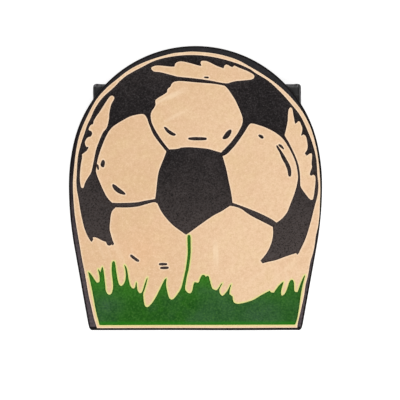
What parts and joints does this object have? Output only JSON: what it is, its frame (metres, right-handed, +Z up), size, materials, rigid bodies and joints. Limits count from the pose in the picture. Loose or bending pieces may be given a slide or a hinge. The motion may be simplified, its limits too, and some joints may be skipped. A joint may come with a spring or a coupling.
{
  "type": "coin purse",
  "caption": "Flat horseshoe-shaped leather coin purse with a tooled ball and grass picture, that opens about its straight fold to a gusseted pocket shut by a snap.",
  "frame": {"origin": "middle of the footprint on the surface that the purse lies on, on its back", "axes": "+X to the right, +Y from the straight fold to the round end, +Z up, out of the tooled front"},
  "size_m": [0.08, 0.09, 0.01],
  "materials": {
    "tooled_leather": "natural vegetable-tanned, tooled and dyed, satin",
    "black_leather": "black dyed grain, satin",
    "bag_leather": "thin smooth black, semi-gloss",
    "lining": "black suede lining, matt",
    "thread": "black waxed thread",
    "nickel": "bright nickel plate"
  },
  "bodies": {
    "back_half": {"cover_back": "black_leather", "lining_back": "lining", "bag_back_wall": "bag_leather", "side_fold_back_right": "bag_leather", "side_fold_back_left": "bag_leather", "snap_stud": "nickel", "snap_rivet": "nickel", "hem_stitches_back": "thread"},
    "spine": {"cover_spine": "black_leather", "lining_spine": "lining", "bag_bottom": "bag_leather"},
    "front_half": {"cover_front": "tooled_leather", "lining_front": "lining", "bag_front_wall": "bag_leather", "side_fold_front_right": "bag_leather", "side_fold_front_left": "bag_leather", "snap_socket": "nickel", "snap_cap": "nickel", "snap_spring": "nickel", "hem_stitches_front": "thread"},
    "leaf_back_right": {"gusset_leaf_back_right": "bag_leather"},
    "leaf_back_left": {"gusset_leaf_back_left": "bag_leather"},
    "leaf_front_right": {"gusset_leaf_front_right": "bag_leather"},
    "leaf_front_left": {"gusset_leaf_front_left": "bag_leather"}
  },
  "joints": [
    {"name": "spine_fold", "type": "hinge", "parent": "back_half", "child": "spine", "pos_m": [0, -0.0443, 0.0007], "axis": [1, 0, 0], "range_deg": [0, 12]},
    {"name": "front_fold", "type": "hinge", "parent": "spine", "child": "front_half", "pos_m": [0, -0.0443, 0.0093], "axis": [1, 0, 0], "range_deg": [0, 12], "deforming": ["snap_spring"]},
    {"name": "leaf_back_right_fold", "type": "hinge", "parent": "back_half", "child": "leaf_back_right", "pos_m": [0.03219, 0, 0.0033], "axis": [0, 1, 0], "range_deg": [0, 40.2]},
    {"name": "leaf_back_left_fold", "type": "hinge", "parent": "back_half", "child": "leaf_back_left", "pos_m": [-0.03119, 0, 0.0033], "axis": [0, -1, 0], "range_deg": [0, 40.2]},
    {"name": "leaf_front_right_fold", "type": "hinge", "parent": "front_half", "child": "leaf_front_right", "pos_m": [0.03219, 0, 0.0067], "axis": [0, -1, 0], "range_deg": [0, 40.2]},
    {"name": "leaf_front_left_fold", "type": "hinge", "parent": "front_half", "child": "leaf_front_left", "pos_m": [-0.03119, 0, 0.0067], "axis": [0, 1, 0], "range_deg": [0, 40.2]}
  ],
  "couplings": [
    {"joint": "front_fold", "follows": "spine_fold", "ratio": 1},
    {"joint": "leaf_back_right_fold", "follows": "spine_fold", "ratio": 3.35},
    {"joint": "leaf_back_left_fold", "follows": "spine_fold", "ratio": 3.35},
    {"joint": "leaf_front_right_fold", "follows": "spine_fold", "ratio": 3.35},
    {"joint": "leaf_front_left_fold", "follows": "spine_fold", "ratio": 3.35}
  ]
}
